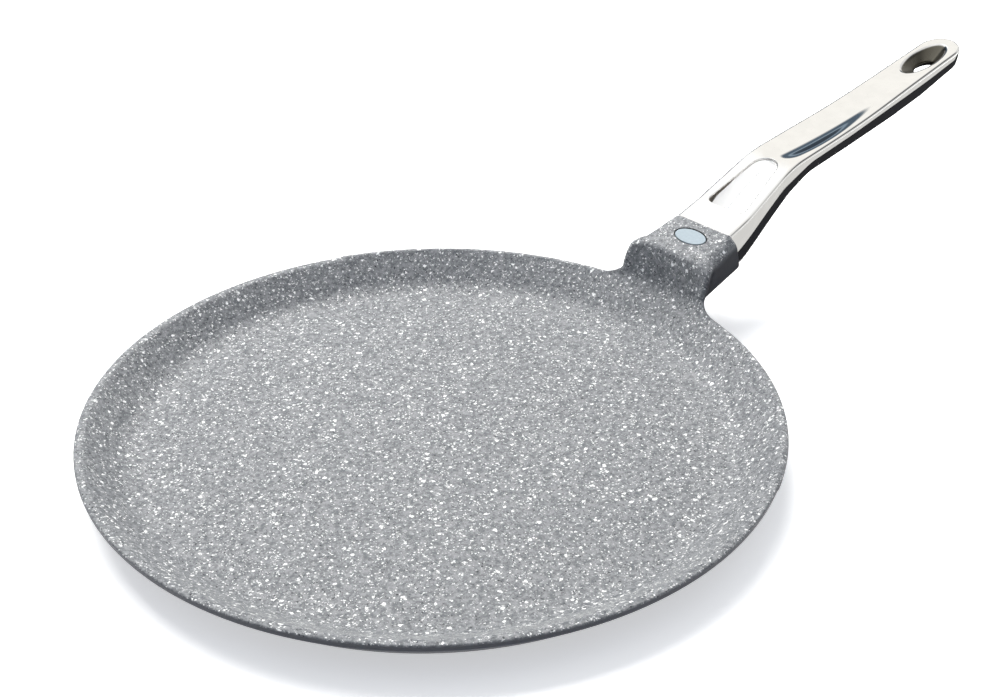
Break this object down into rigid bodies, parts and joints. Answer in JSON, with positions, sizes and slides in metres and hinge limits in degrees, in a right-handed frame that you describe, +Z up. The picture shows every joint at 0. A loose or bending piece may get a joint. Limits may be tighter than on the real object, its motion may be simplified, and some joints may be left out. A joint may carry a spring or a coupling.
{
  "type": "crepe pan",
  "caption": "Shallow round crepe pan with a low flared wall, a cast socket and a bent polished metal handle with a window in its neck and a hanging hole.",
  "frame": {"origin": "centre of the flat base, on the plane it stands on", "axes": "+X from the dish's centre along the handle, +Z up out of the dish, +Y to the left of the handle"},
  "size_m": [0.499, 0.28, 0.0782],
  "materials": {
    "pan_body": "speckled grey stone-look coating inside and on the socket, dark matte coating outside",
    "induction_disc": "spun bare steel with a ring pattern of holes",
    "handle": "mirror polished cast stainless steel",
    "handle_screw": "bare steel",
    "spring_washer": "bare steel",
    "screw_plug": "plain blue-grey, satin"
  },
  "bodies": {
    "root": {"pan_body": "pan_body", "induction_disc": "induction_disc", "handle": "handle", "handle_screw": "handle_screw", "spring_washer": "spring_washer", "screw_plug": "screw_plug"}
  },
  "joints": []
}
